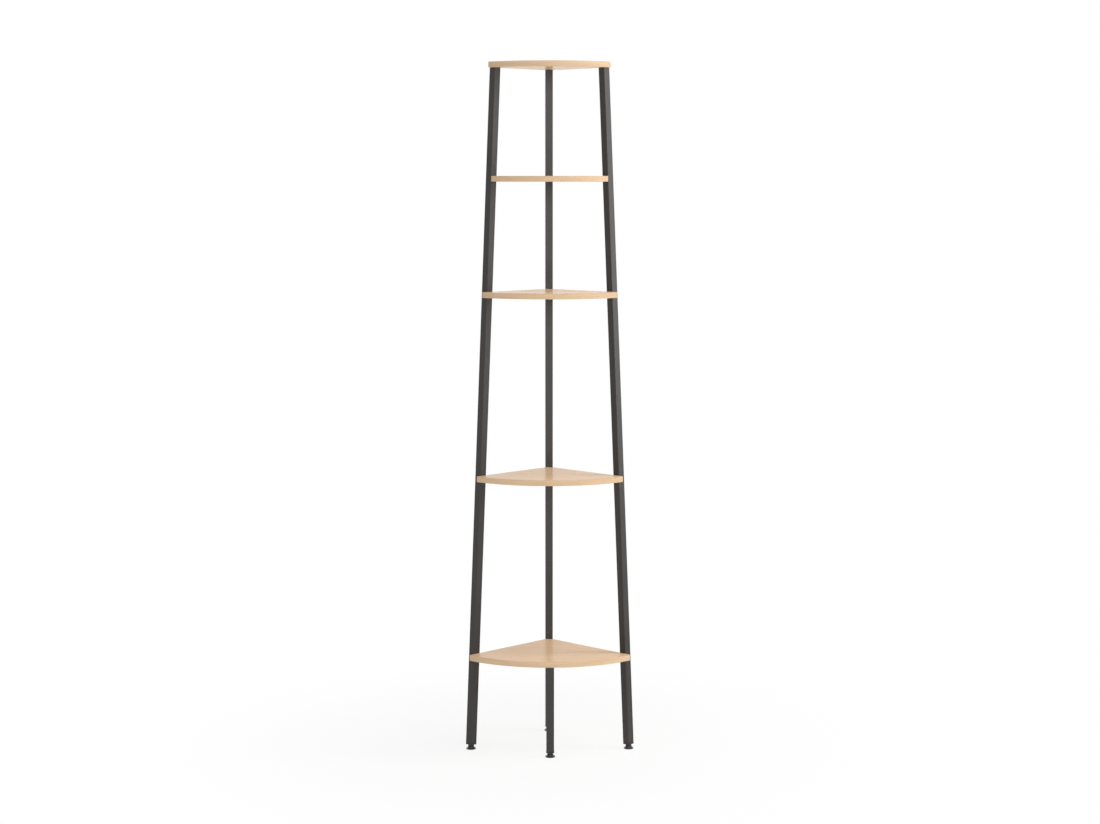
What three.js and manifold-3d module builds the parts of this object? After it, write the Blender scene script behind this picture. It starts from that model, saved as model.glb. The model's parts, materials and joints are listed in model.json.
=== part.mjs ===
// Corner shelf unit: five quarter-round boards in a frame of square steel tube.
// The back leg stands upright in the corner. The two side legs lean in towards the top, each in
// the plane of its wall. A short front leg holds the middle of the lowest board.
// All lengths are in millimetres. +Z is up, and the viewer stands on the -Y side.

import * as THREE from 'three';
import { mergeVertices } from 'three/addons/utils/BufferGeometryUtils.js';
import Module from 'manifold-3d';

const wasm = await Module();
wasm.setup();

// Fits shared by all pieces
const seatGap = 0.3; // between two faces that bear on each other
const turnGap = 0.3; // radial, round a bolt, screw, nut or stud
const cutOverrun = 5; // how far a cutting shape passes the face it cuts
const weldTolerance = 0.0003; // points nearer than this are one point

// Heights, from the top face of one board to the top face of the next
const bottomShelfHeight = 256; // above the floor
const bottomBayHeight = 470;
const lowerBayHeight = 480;
const middleBayHeight = 300;
const upperBayHeight = 294;

// Where the side legs stand: along the wall, from the corner of the boards' straight sides
const sideLegFootDistance = 284.5; // at floor level
const sideLegTopDistance = 189; // under the top board

// How far each board's tips reach past the side legs
const topShelfOverhang = 7;
const upperShelfOverhang = 2.6;
const middleShelfOverhang = 19.6;
const lowerShelfOverhang = 16;
const bottomShelfOverhang = 18.8;

// Boards
const boardThickness = 15;
const boardArris = 1.2; // rounding of the edge band, above and below
const boardTipRadius = 4; // rounding of the two tips, seen from above

// Square tube of the legs
const tubeSize = 20;
const tubeWall = 1.2;
const tubeCornerRadius = 1.5;
const tubeInnerRadius = 0.5;
const frontLegInset = 21.3; // from the lowest board's front edge to the middle of the front leg

// Joint of the upper and lower leg tubes, hidden behind the edge of the lower shelf
const seamAboveUnderside = 1.6;
const sleeveLength = 120;
const sleeveWall = 1.5;
const fillCornerRadius = 1; // of the sleeves, plugs and inserts in the tubes

// Shelf bolt, with a button head and a hexagon socket
const boltDiameter = 6;
const boltPastNut = 2.4;
const boltTipChamfer = 0.8;
const boltHeadDiameter = 10.5;
const boltHeadHeight = 3.3;
const boltHeadLandDiameter = 5.6;
const boltHeadRim = 0.7;
const boltSocketWidth = 4; // across the flats
const boltSocketDepth = 2;

// Barrel nut, let into the underside of the board
const barrelDiameter = 10;
const barrelInset = 32; // from the board's edge to the axis of the nut
const barrelRecess = 0.7; // from the board's underside to the nut
const barrelSkin = 2; // board left above the nut's well
const barrelSlotWidth = 1.4;
const barrelSlotDepth = 1.2;

// Countersunk screw of the top board, and the plug that it enters
const topScrewHeadDiameter = 12;
const topScrewEntry = 17; // into the plug
const topScrewSink = 0.3; // the head lies this far below the board's top face
const topScrewRim = 0.5;
const topPlugLength = 24;

// Plate welded on the front leg, and its two screws
const plateThickness = 3;
const plateScrewDiameter = 4;
const plateScrewHeadDiameter = 8;
const plateScrewHeadHeight = 2.4;
const plateScrewHeadChamfer = 0.7;
const plateScrewEntry = 10.5; // into the board
const plateScrewTip = 2.5;
const plateScrewNear = 9; // from the back of the tube to the first screw
const plateScrewSpacing = 15;
const plateScrewEnd = 8; // from the last screw to the end of the plate

// Foot: an insert in the tube, a stud with a hexagon and a ball end, and a round pad
const footHeight = 12.5; // from the floor to the insert, along the leg
const insertLip = 0.5; // how far the flange stands proud of the tube
const insertFlangeThickness = 2.2;
const insertFlangeRadius = 2.2;
const insertBodyLength = 25;
const studDiameter = 8;
const studLength = 32; // above the hexagon
const studTipChamfer = 1;
const studHexWidth = 14; // across the flats
const studHexAbovePad = 1;
const studNeckDiameter = 5.2;
const studNeckRise = 0.7; // how far the neck runs up into the hexagon
const ballDiameter = 7.8;
const ballSink = 2.4; // from the pad's top down to the middle of the ball
const padHeight = 8;
const padDiameter = 25.5;
const padRimHeight = 3;
const padBossHeight = 3.9; // where the boss rises from the flat disc
const padBossDiameter = 17.6;
const padTopDiameter = 16.8;

// Facet counts
const boardArcSegments = 30;
const boardTipSegments = 3;
const boardArrisSegments = 2;
const tubeCornerSegments = 2;
const fillCornerSegments = 1;
const boltSegments = 12;
const barrelSegments = 12;
const screwHeadSegments = 16;
const studSegments = 14;
const padSegments = 20;
const ballArcSegments = 4;

// Finishes
const laminate = { color: 0xd9bc95, roughness: 0.45, metalness: 0 };
const powderCoat = { color: 0x3f3b39, roughness: 0.5, metalness: 0.4 };
const plastic = { color: 0x1c1b1b, roughness: 0.45, metalness: 0 };
const zincPlate = { color: 0xaeb0b2, roughness: 0.35, metalness: 0.9 };
const bareSteel = { color: 0x8d8e90, roughness: 0.45, metalness: 0.9 };
const blackedSteel = { color: 0x343230, roughness: 0.4, metalness: 0.5 };

// Heights and reaches that follow from the sizes above
const quarterTurn = Math.PI / 2;
const eighthTurn = Math.PI / 4;
const lowerShelfHeight = bottomShelfHeight + bottomBayHeight;
const middleShelfHeight = lowerShelfHeight + lowerBayHeight;
const upperShelfHeight = middleShelfHeight + middleBayHeight;
const overallHeight = upperShelfHeight + upperBayHeight;
const legTopHeight = overallHeight - boardThickness;
const sideLean = Math.atan2(sideLegFootDistance - sideLegTopDistance, legTopHeight);
const seamHeight = lowerShelfHeight - boardThickness + seamAboveUnderside;

// Places across the tube: a leg's centre lies this far from the edge of the boards that it holds
const legCentreOffset = seatGap + tubeSize / 2;
const tubeFillSize = tubeSize - 2 * tubeWall - 2 * seatGap;
const tubeBottom = footHeight + insertFlangeThickness + seatGap;
const topBoardOffset = (tubeSize + seatGap) * Math.SQRT2; // the top board's corner lies behind

// Bolt, nut and screw sizes that follow
const boreDiameter = boltDiameter + 2 * turnGap;
const boltReach = barrelInset + barrelDiameter / 2 + boltPastNut;
const boltLength = tubeSize + 2 * seatGap + boltReach;
const wellDepth = boardThickness - barrelSkin;
const barrelLength = wellDepth - barrelRecess - turnGap;
const topScrewLength = boardThickness - topScrewSink + seatGap + topScrewEntry;
const plateScrewLength = seatGap + plateThickness + seatGap + plateScrewEntry;
const plateLength = tubeSize + plateScrewNear + plateScrewSpacing + plateScrewEnd;
const ballHeight = padHeight - ballSink;

// Each long leg stands at a distance from the corner, along a line turned about the vertical, and
// beside that line by an offset. Its outer side is towards local Y times outward.
const leftLeg = {
  name: 'left',
  turn: -3 * eighthTurn,
  outward: -1,
  lean: sideLean,
  foot: sideLegFootDistance,
  offset: -legCentreOffset,
};
const rightLeg = {
  name: 'right',
  turn: -eighthTurn,
  outward: 1,
  lean: sideLean,
  foot: sideLegFootDistance,
  offset: legCentreOffset,
};
const backLeg = { name: 'back', turn: 0, outward: 1, lean: 0, foot: 0, offset: 0 };
const longLegs = [leftLeg, rightLeg, backLeg];

// Distance along its line from the corner to a leg's centre, at a height above the floor
function legDistance(leg, height) {
  return leg.foot - Math.tan(leg.lean) * height;
}

// Length along a leaning leg from the floor to a height
function alongLeg(leg, height) {
  return height / Math.cos(leg.lean);
}

// Board radius that reaches past the side legs by an overhang, at a height
function reachPastLegs(height, overhang) {
  return legDistance(leftLeg, height) + tubeSize / 2 + overhang;
}

function shelfEntry(name, topHeight, overhang) {
  const middle = topHeight - boardThickness / 2;
  return { name, underside: topHeight - boardThickness, middle, radius: reachPastLegs(middle, overhang) };
}

const bottomShelf = shelfEntry('bottom', bottomShelfHeight, bottomShelfOverhang);
const shelves = [
  shelfEntry('upper', upperShelfHeight, upperShelfOverhang),
  shelfEntry('middle', middleShelfHeight, middleShelfOverhang),
  shelfEntry('lower', lowerShelfHeight, lowerShelfOverhang),
  bottomShelf,
];
const topShelfRadius = reachPastLegs(legTopHeight, topShelfOverhang) + tubeSize + seatGap;

const frontLeg = {
  name: 'front',
  turn: -quarterTurn,
  lean: 0,
  foot: bottomShelf.radius - frontLegInset,
  offset: 0,
};

// The origin lies under the middle of the unit's depth
const depthCentre = (bottomShelf.radius - (topBoardOffset - legCentreOffset)) / 2;

function toSolid(geometry) {
  const plain = geometry.clone();
  plain.deleteAttribute('normal');
  plain.deleteAttribute('uv');
  const merged = mergeVertices(plain, weldTolerance);
  const mesh = new wasm.Mesh({
    numProp: 3,
    vertProperties: new Float32Array(merged.attributes.position.array),
    triVerts: new Uint32Array(merged.index.array),
  });
  return new wasm.Manifold(mesh);
}

function toGeometry(solid) {
  const mesh = solid.getMesh();
  const geometry = new THREE.BufferGeometry();
  geometry.setAttribute('position', new THREE.BufferAttribute(mesh.vertProperties, 3));
  geometry.setIndex(new THREE.BufferAttribute(mesh.triVerts, 1));
  geometry.computeVertexNormals();
  return geometry;
}

function cut(geometry, cutters) {
  let solid = toSolid(geometry);
  for (const cutter of cutters) {
    solid = solid.subtract(toSolid(cutter));
  }
  return toGeometry(solid);
}

function join(first, second) {
  return toGeometry(toSolid(first).add(toSolid(second)));
}

function arcPoints(x, y, radius, from, to, segments) {
  const points = [];
  for (let i = 0; i <= segments; i += 1) {
    const angle = from + ((to - from) * i) / segments;
    points.push(new THREE.Vector2(x + radius * Math.cos(angle), y + radius * Math.sin(angle)));
  }
  return points;
}

// Square with round corners, anticlockwise
function squarePoints(size, radius, segments) {
  const reach = (size / 2 - radius) * Math.SQRT2;
  const points = [];
  for (let corner = 0; corner < 4; corner += 1) {
    const start = corner * quarterTurn;
    const x = reach * Math.cos(start + eighthTurn);
    const y = reach * Math.sin(start + eighthTurn);
    points.push(...arcPoints(x, y, radius, start, start + quarterTurn, segments));
  }
  return points;
}

function prism(points, from, to, holePoints) {
  const shape = new THREE.Shape(points);
  if (holePoints) {
    shape.holes.push(new THREE.Path(holePoints));
  }
  const geometry = new THREE.ExtrudeGeometry(shape, { depth: to - from, bevelEnabled: false });
  geometry.translate(0, 0, from);
  return geometry;
}

// Upright cylinder between two heights
function post(diameter, from, to, segments) {
  const geometry = new THREE.CylinderGeometry(diameter / 2, diameter / 2, to - from, segments);
  geometry.rotateX(quarterTurn);
  geometry.translate(0, 0, (from + to) / 2);
  return geometry;
}

// Hexagonal prism by its width across the flats
function hexagon(width, from, to) {
  return post(width / Math.cos(Math.PI / 6), from, to, 6);
}

// Body of revolution about the vertical, from pairs of radius and height
function turned(pairs, segments) {
  const points = pairs.map(([radius, height]) => new THREE.Vector2(radius, height));
  const geometry = new THREE.LatheGeometry(points, segments);
  geometry.rotateX(quarterTurn);
  return geometry;
}

// Arc for a turned profile, centred on the axis at a height
function profileArc(height, radius, from, to) {
  return arcPoints(0, height, radius, from, to, ballArcSegments).map((point) => point.toArray());
}

function tubePrism(from, to) {
  const outer = squarePoints(tubeSize, tubeCornerRadius, tubeCornerSegments);
  const inner = squarePoints(tubeSize - 2 * tubeWall, tubeInnerRadius, fillCornerSegments);
  return prism(outer, from, to, inner.reverse());
}

// Solid bar that fills the inside of the tube
function fillPrism(from, to) {
  return prism(squarePoints(tubeFillSize, fillCornerRadius, fillCornerSegments), from, to);
}

// Hole for the bolt of one shelf, square through a leg
function legBoltHole(leg, shelf) {
  const hole = post(boreDiameter, -tubeSize, tubeSize, boltSegments);
  hole.rotateX(quarterTurn);
  hole.translate(0, 0, alongLeg(leg, shelf.middle));
  return hole;
}

// Block above the level end of a leg
function levelCutter(leg) {
  const size = tubeSize + 2 * cutOverrun;
  const block = new THREE.BoxGeometry(size, size, size);
  block.translate(0, 0, size / 2 - seatGap);
  block.rotateY(leg.lean);
  block.translate(0, 0, alongLeg(leg, legTopHeight));
  return block;
}

// Tube from the seam up to the top board
function upperLegTube(leg) {
  const seam = alongLeg(leg, seamHeight) + seatGap / 2;
  const tube = tubePrism(seam, alongLeg(leg, legTopHeight) + cutOverrun);
  const held = shelves.filter((shelf) => shelf.middle > seamHeight);
  return cut(tube, [levelCutter(leg), ...held.map((shelf) => legBoltHole(leg, shelf))]);
}

// Tube from the foot up to the seam
function lowerLegTube(leg) {
  const tube = tubePrism(tubeBottom, alongLeg(leg, seamHeight) - seatGap / 2);
  const held = shelves.filter((shelf) => shelf.middle < seamHeight);
  return cut(tube, held.map((shelf) => legBoltHole(leg, shelf)));
}

// Short inner tube that carries the upper leg on the lower one
function legSleeve(leg) {
  const from = alongLeg(leg, seamHeight) - sleeveLength / 2;
  const outer = squarePoints(tubeFillSize, fillCornerRadius, fillCornerSegments);
  const inner = squarePoints(tubeFillSize - 2 * sleeveWall, tubeInnerRadius, fillCornerSegments);
  const sleeve = prism(outer, from, from + sleeveLength, inner.reverse());
  const held = shelves.filter((shelf) => Math.abs(shelf.middle - seamHeight) < sleeveLength / 2);
  return cut(sleeve, held.map((shelf) => legBoltHole(leg, shelf)));
}

// Solid plug in the top of a leg, bored upright for the screw of the top board
function topPlug(leg) {
  const top = alongLeg(leg, legTopHeight);
  const plug = fillPrism(top - topPlugLength, top + cutOverrun);
  const reach = topPlugLength + cutOverrun;
  const bore = post(boreDiameter, -reach, reach, boltSegments);
  bore.rotateY(leg.lean);
  bore.translate(0, 0, top);
  return cut(plug, [levelCutter(leg), bore]);
}

// Outline of a quarter-round board: two straight sides, a flat across their corner, round tips
function boardPoints(radius) {
  const tipReach = radius - boardTipRadius;
  const tipTurn = Math.asin(boardTipRadius / tipReach);
  const left = leftLeg.turn + tipTurn;
  const right = rightLeg.turn - tipTurn;
  const leftX = tipReach * Math.cos(left);
  const leftY = tipReach * Math.sin(left);
  const leftFrom = leftLeg.turn - quarterTurn;
  const rightX = tipReach * Math.cos(right);
  const rightY = tipReach * Math.sin(right);
  const rightTo = rightLeg.turn + quarterTurn;
  return [
    new THREE.Vector2(-legCentreOffset, -legCentreOffset),
    ...arcPoints(leftX, leftY, boardTipRadius, leftFrom, left, boardTipSegments),
    ...arcPoints(0, 0, radius, left, right, boardArcSegments).slice(1),
    ...arcPoints(rightX, rightY, boardTipRadius, right, rightTo, boardTipSegments).slice(1),
    new THREE.Vector2(legCentreOffset, -legCentreOffset),
  ];
}

// Board with its underside at height zero and a round arris all the way round
function boardBlank(radius) {
  const geometry = new THREE.ExtrudeGeometry(new THREE.Shape(boardPoints(radius)), {
    depth: boardThickness - 2 * boardArris,
    bevelEnabled: true,
    bevelThickness: boardArris,
    bevelSize: boardArris,
    bevelOffset: -boardArris,
    bevelSegments: boardArrisSegments,
  });
  geometry.translate(0, 0, boardArris);
  return geometry;
}

// Bore for the bolt and blind well for the barrel nut, where a leg meets the board
function fixingCutters(leg, shelf) {
  const bore = post(boreDiameter, -cutOverrun, boltReach + seatGap, boltSegments);
  bore.rotateX(leg.outward * quarterTurn);
  bore.translate(0, 0, boardThickness / 2);
  const well = post(barrelDiameter + 2 * turnGap, -cutOverrun, wellDepth, barrelSegments);
  well.translate(0, -leg.outward * barrelInset, 0);
  for (const cutter of [bore, well]) {
    cutter.translate(legDistance(leg, shelf.middle), leg.offset - leg.outward * legCentreOffset, 0);
    cutter.rotateZ(leg.turn);
  }
  return [bore, well];
}

// Places of the plate's screws behind the middle of the front leg
function plateScrewPlaces() {
  const first = tubeSize / 2 + plateScrewNear;
  return [first, first + plateScrewSpacing];
}

// Pilot holes in the lowest board for the plate's screws
function pilotCutters() {
  return plateScrewPlaces().map((place) => {
    const depth = plateScrewEntry + turnGap;
    const pilot = post(plateScrewDiameter + 2 * turnGap, -cutOverrun, depth, boltSegments);
    pilot.translate(frontLeg.foot - place, 0, 0);
    pilot.rotateZ(frontLeg.turn);
    return pilot;
  });
}

function shelfBoard(shelf) {
  const cutters = longLegs.flatMap((leg) => fixingCutters(leg, shelf));
  if (shelf === bottomShelf) {
    cutters.push(...pilotCutters());
  }
  return cut(boardBlank(shelf.radius), cutters);
}

// Countersunk hole down from height zero
function countersink() {
  const head = topScrewHeadDiameter / 2 + turnGap;
  const shank = boreDiameter / 2;
  const rim = topScrewSink + topScrewRim;
  const bottom = boardThickness + cutOverrun;
  const profile = [
    [0, -bottom],
    [shank, -bottom],
    [shank, -rim - (head - shank)],
    [head, -rim],
    [head, cutOverrun],
    [0, cutOverrun],
  ];
  return turned(profile, screwHeadSegments);
}

function topBoard() {
  const holes = longLegs.map((leg) => {
    const hole = countersink();
    hole.translate(legDistance(leg, legTopHeight), leg.offset, boardThickness);
    hole.rotateZ(leg.turn);
    hole.translate(0, -topBoardOffset, 0);
    return hole;
  });
  return cut(boardBlank(topShelfRadius), holes);
}

// Bolt with the underside of its head at height zero and its shank pointing down
function shelfBolt() {
  const shank = boltDiameter / 2;
  const head = boltHeadDiameter / 2;
  const land = boltHeadLandDiameter / 2;
  const profile = [
    [0, -boltLength],
    [shank - boltTipChamfer, -boltLength],
    [shank, boltTipChamfer - boltLength],
    [shank, 0],
    [head, 0],
    [head, boltHeadRim],
    [land, boltHeadHeight],
    [0, boltHeadHeight],
  ];
  const socketFloor = boltHeadHeight - boltSocketDepth;
  const socket = hexagon(boltSocketWidth, socketFloor, boltHeadHeight + cutOverrun);
  return cut(turned(profile, boltSegments), [socket]);
}

// Barrel nut standing on height zero, with a cross bore for the bolt and a slot underneath
function barrelNut() {
  const bore = post(boreDiameter, -barrelDiameter, barrelDiameter, boltSegments);
  bore.rotateX(quarterTurn);
  bore.translate(0, 0, boardThickness / 2 - barrelRecess);
  const slot = new THREE.BoxGeometry(barrelSlotWidth, barrelDiameter + cutOverrun, 2 * barrelSlotDepth);
  return cut(post(barrelDiameter, 0, barrelLength, barrelSegments), [bore, slot]);
}

// Countersunk screw with the top of its head at height zero
function topScrew() {
  const head = topScrewHeadDiameter / 2;
  const shank = boltDiameter / 2;
  const profile = [
    [0, -topScrewLength],
    [shank - boltTipChamfer, -topScrewLength],
    [shank, boltTipChamfer - topScrewLength],
    [shank, -topScrewRim - (head - shank)],
    [head, -topScrewRim],
    [head, 0],
    [0, 0],
  ];
  const socket = hexagon(boltSocketWidth, -boltSocketDepth, cutOverrun);
  return cut(turned(profile, screwHeadSegments), [socket]);
}

// Front leg with its top plate, which reaches back under the board
function frontLegTube() {
  const plateTop = bottomShelf.underside - seatGap;
  const plateMiddle = plateTop - plateThickness / 2;
  const plate = new THREE.BoxGeometry(plateLength, tubeSize, plateThickness);
  plate.translate(tubeSize / 2 - plateLength / 2, 0, plateMiddle);
  const holes = plateScrewPlaces().map((place) => {
    const diameter = plateScrewDiameter + 2 * turnGap;
    const hole = post(diameter, plateTop - plateThickness - cutOverrun, plateTop + cutOverrun, boltSegments);
    hole.translate(-place, 0, 0);
    return hole;
  });
  return cut(join(tubePrism(tubeBottom, plateMiddle), plate), holes);
}

// Pan-head screw that points up, with its head under height zero
function plateScrew() {
  const head = plateScrewHeadDiameter / 2;
  const shank = plateScrewDiameter / 2;
  const profile = [
    [0, -plateScrewHeadHeight],
    [head - plateScrewHeadChamfer, -plateScrewHeadHeight],
    [head, plateScrewHeadChamfer - plateScrewHeadHeight],
    [head, 0],
    [shank, 0],
    [shank, plateScrewLength - plateScrewTip],
    [0, plateScrewLength],
  ];
  return turned(profile, boltSegments);
}

// Square insert with a flange under the tube and a bore for the stud
function footInsert() {
  const flangeTop = footHeight + insertFlangeThickness;
  const flangeSize = tubeSize + 2 * insertLip;
  const flangePoints = squarePoints(flangeSize, insertFlangeRadius, tubeCornerSegments);
  const flange = prism(flangePoints, footHeight, flangeTop);
  const body = fillPrism(footHeight + insertFlangeThickness / 2, flangeTop + insertBodyLength);
  const bore = post(studDiameter + 2 * turnGap, 0, flangeTop + insertBodyLength + cutOverrun, studSegments);
  return cut(join(flange, body), [bore]);
}

// Threaded stud with a hexagon and a ball end; its ball is centred at height zero
function footStud() {
  const hexTop = footHeight - seatGap - ballHeight;
  const hexBottom = ballSink + studHexAbovePad;
  const neck = studNeckDiameter / 2;
  const shank = studDiameter / 2;
  const ball = ballDiameter / 2;
  const profile = [
    [0, -ball],
    ...profileArc(0, ball, -quarterTurn, Math.acos(neck / ball)).slice(1),
    [neck, hexBottom + studNeckRise],
    [shank, hexBottom + studNeckRise],
    [shank, hexTop + studLength - studTipChamfer],
    [shank - studTipChamfer, hexTop + studLength],
    [0, hexTop + studLength],
  ];
  return join(turned(profile, studSegments), hexagon(studHexWidth, hexBottom, hexTop));
}

// Round pad: a flat disc with a boss whose socket holds the ball
function footPad() {
  const socket = ballDiameter / 2 + turnGap;
  const profile = [
    [0, 0],
    [padDiameter / 2, 0],
    [padDiameter / 2, padRimHeight],
    [padBossDiameter / 2, padBossHeight],
    [padTopDiameter / 2, padHeight],
    ...profileArc(ballHeight, socket, Math.asin(ballSink / socket), -quarterTurn).slice(0, -1),
    [0, ballHeight - socket],
  ];
  return turned(profile, padSegments);
}

function piece(name, geometry, finish) {
  const mesh = new THREE.Mesh(geometry, new THREE.MeshStandardMaterial(finish));
  mesh.name = name;
  return mesh;
}

// Insert and stud along a leg, and the pad level on the floor under it
function addFoot(line, along, leg) {
  along.add(piece(`${leg.name}_foot_insert`, footInsert(), plastic));
  const stud = piece(`${leg.name}_foot_stud`, footStud(), blackedSteel);
  stud.position.z = alongLeg(leg, ballHeight);
  along.add(stud);
  const pad = piece(`${leg.name}_foot_pad`, footPad(), plastic);
  pad.position.set(legDistance(leg, ballHeight), leg.offset, 0);
  line.add(pad);
}

// Bolt and barrel nut that hold one board to one leg
function addFixing(line, leg, shelf) {
  const x = legDistance(leg, shelf.middle);
  const edge = leg.offset - leg.outward * legCentreOffset;
  const bolt = piece(`${shelf.name}_shelf_${leg.name}_bolt`, shelfBolt(), zincPlate);
  bolt.position.set(x, edge + leg.outward * (tubeSize + 2 * seatGap), shelf.middle);
  bolt.rotation.x = -leg.outward * quarterTurn;
  line.add(bolt);
  const nut = piece(`${shelf.name}_shelf_${leg.name}_barrel_nut`, barrelNut(), zincPlate);
  nut.position.set(x, edge - leg.outward * barrelInset, shelf.underside + barrelRecess);
  line.add(nut);
}

// Group along a leg's line from the corner, and in it a group whose Z runs along the leg
function legGroups(unit, leg) {
  const line = new THREE.Group();
  line.rotation.z = leg.turn;
  unit.add(line);
  const along = new THREE.Group();
  along.position.set(leg.foot, leg.offset, 0);
  along.rotation.y = -leg.lean;
  line.add(along);
  addFoot(line, along, leg);
  return { line, along };
}

function addLongLeg(unit, leg) {
  const { line, along } = legGroups(unit, leg);
  along.add(piece(`${leg.name}_leg_upper`, upperLegTube(leg), powderCoat));
  along.add(piece(`${leg.name}_leg_lower`, lowerLegTube(leg), powderCoat));
  along.add(piece(`${leg.name}_leg_sleeve`, legSleeve(leg), bareSteel));
  along.add(piece(`${leg.name}_leg_top_plug`, topPlug(leg), bareSteel));
  for (const shelf of shelves) {
    addFixing(line, leg, shelf);
  }
  const screw = piece(`top_shelf_${leg.name}_screw`, topScrew(), zincPlate);
  screw.position.set(legDistance(leg, legTopHeight), leg.offset, overallHeight - topScrewSink);
  line.add(screw);
}

function addFrontLeg(unit) {
  const { along } = legGroups(unit, frontLeg);
  along.add(piece('front_leg', frontLegTube(), powderCoat));
  plateScrewPlaces().forEach((place, index) => {
    const screw = piece(`front_leg_screw_${index + 1}`, plateScrew(), zincPlate);
    screw.position.set(-place, 0, bottomShelf.underside - 2 * seatGap - plateThickness);
    along.add(screw);
  });
}

function addBoards(unit) {
  const top = piece('top_shelf', topBoard(), laminate);
  top.position.set(0, topBoardOffset, legTopHeight);
  unit.add(top);
  for (const shelf of shelves) {
    const board = piece(`${shelf.name}_shelf`, shelfBoard(shelf), laminate);
    board.position.z = shelf.underside;
    unit.add(board);
  }
}

const unit = new THREE.Group();
unit.name = 'corner_shelf_unit';
unit.position.y = depthCentre;
addBoards(unit);
for (const leg of longLegs) {
  addLongLeg(unit, leg);
}
addFrontLeg(unit);

export default unit;
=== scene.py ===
"""Corner shelf unit: laminate boards in a powder-coated frame of square tube, on levelling feet.

Laid out as a Blender add-on and run as a script. Lengths are in metres, angles in radians and colours
linear, unless a name says otherwise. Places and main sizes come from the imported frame.
"""

import json
import math

import bmesh
import bpy
import numpy as np
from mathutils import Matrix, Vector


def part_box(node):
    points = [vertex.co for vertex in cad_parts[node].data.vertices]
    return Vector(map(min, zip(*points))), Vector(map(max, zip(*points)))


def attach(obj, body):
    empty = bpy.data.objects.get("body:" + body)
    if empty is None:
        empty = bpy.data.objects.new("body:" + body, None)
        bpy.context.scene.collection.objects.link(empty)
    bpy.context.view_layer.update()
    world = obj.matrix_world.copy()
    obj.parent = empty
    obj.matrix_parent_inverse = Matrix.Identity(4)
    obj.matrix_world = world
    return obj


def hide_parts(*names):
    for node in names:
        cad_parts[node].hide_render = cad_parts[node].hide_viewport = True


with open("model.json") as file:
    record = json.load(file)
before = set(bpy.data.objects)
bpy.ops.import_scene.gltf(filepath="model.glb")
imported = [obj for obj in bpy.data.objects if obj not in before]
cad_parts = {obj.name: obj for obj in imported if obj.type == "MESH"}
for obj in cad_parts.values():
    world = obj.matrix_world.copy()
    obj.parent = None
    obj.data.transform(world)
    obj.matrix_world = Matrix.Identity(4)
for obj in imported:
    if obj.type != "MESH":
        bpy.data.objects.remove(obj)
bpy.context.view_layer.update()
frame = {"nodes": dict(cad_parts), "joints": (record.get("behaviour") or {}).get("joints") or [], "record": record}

bl_info = {
    "name": "Corner Shelf Unit",
    "version": (1, 0, 0),
    "blender": (4, 5, 0),
    "location": "View3D > Sidebar > Shelf Unit",
    "description": "Boards, leg tubes, fixings, feet and studio of a quarter-round corner shelf unit",
    "category": "Object",
}

MM = 0.001
TAU = 2 * math.pi
QUARTER = math.pi / 2
UP = (0, 0, 1)
HOLD = 0.15 * MM  # width of the strip beside a rounding that keeps the flat face's shading flat
WELD = 0.001 * MM  # points closer than this are one
SHARP = math.radians(35)  # edges that turn further than this stay sharp
OVERCUT = 5 * MM  # how far a cutter reaches past the surface that it opens

# Level direction of each leg's local X: away from the corner, and to the right on the back leg
LEG_TURNS = {"left": math.radians(-135), "right": math.radians(-45), "back": 0, "front": -QUARTER}
# Level direction from the boards to the wall side of each long leg
WALL_TURNS = {"left": math.radians(135), "right": math.radians(45), "back": QUARTER}
LONG_LEGS = tuple(WALL_TURNS)
SHELVES = ("bottom", "lower", "middle", "upper")
PLATE_SCREWS = ("front_leg_screw_1", "front_leg_screw_2")

RECORD = frame["record"]
BODY_OF = {node: body for body, nodes in RECORD["behaviour"]["bodies"].items() for node in nodes}
SLOT_OF = {part["node"]: part["material_slot"] for part in RECORD["subparts"]}
JOINTS = {joint["name"]: joint for joint in frame["joints"]}


def linear(red, green, blue):
    """Linear colour of a display colour given as three numbers from 0 to 255."""
    share = np.array([red, green, blue]) / 255
    curve = np.where(share <= 0.04045, share / 12.92, ((share + 0.055) / 1.055) ** 2.4)
    return tuple(float(value) for value in curve)


def number(name, description, default, **kind):
    return bpy.props.FloatProperty(name=name, description=description, default=default, **kind)


def metres(name, description, default):
    return number(name, description, default, unit="LENGTH", precision=5)


def mm(name, description, millimetres):
    return metres(name, description, millimetres * MM)


def fraction(name, description, default):
    return number(name, description, default, subtype="FACTOR", min=0, max=1)


def tint(name, description, display):
    return bpy.props.FloatVectorProperty(
        name=name, description=description, subtype="COLOR", size=3, min=0, max=1, default=linear(*display)
    )


class ShelfStageSettings(bpy.types.PropertyGroup):
    camera_side: metres("Camera side", "Camera left or right of the back leg", -0.0626)
    camera_distance: metres("Camera distance", "Camera in front of the back leg", 5.9284)
    camera_height: metres("Camera height", "Camera above the floor", 1.505)
    camera_turn: number("Camera turn", "Camera turned to the right", 0.011, unit="ROTATION")
    camera_tilt: number("Camera tilt", "Camera turned down", 0.10596, unit="ROTATION")
    lens: number("Lens", "Focal length", 72.54, unit="CAMERA")
    side_light: number("Side light", "Power of the tall light on the right", 51, unit="POWER")
    front_light: number("Front light", "Power of the light by the camera", 142, unit="POWER")
    top_light: number("Top light", "Power of the light overhead", 54, unit="POWER")
    back_light: number("Back light", "Power of the light behind the unit", 28, unit="POWER")
    low_light: number("Low light", "Power of the low light in front", 11, unit="POWER")
    ambient: fraction("Ambient", "Strength of the light from all round", 0.31)
    floor_colour: tint("Floor", "Colour of the floor", (250, 250, 250))


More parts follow.
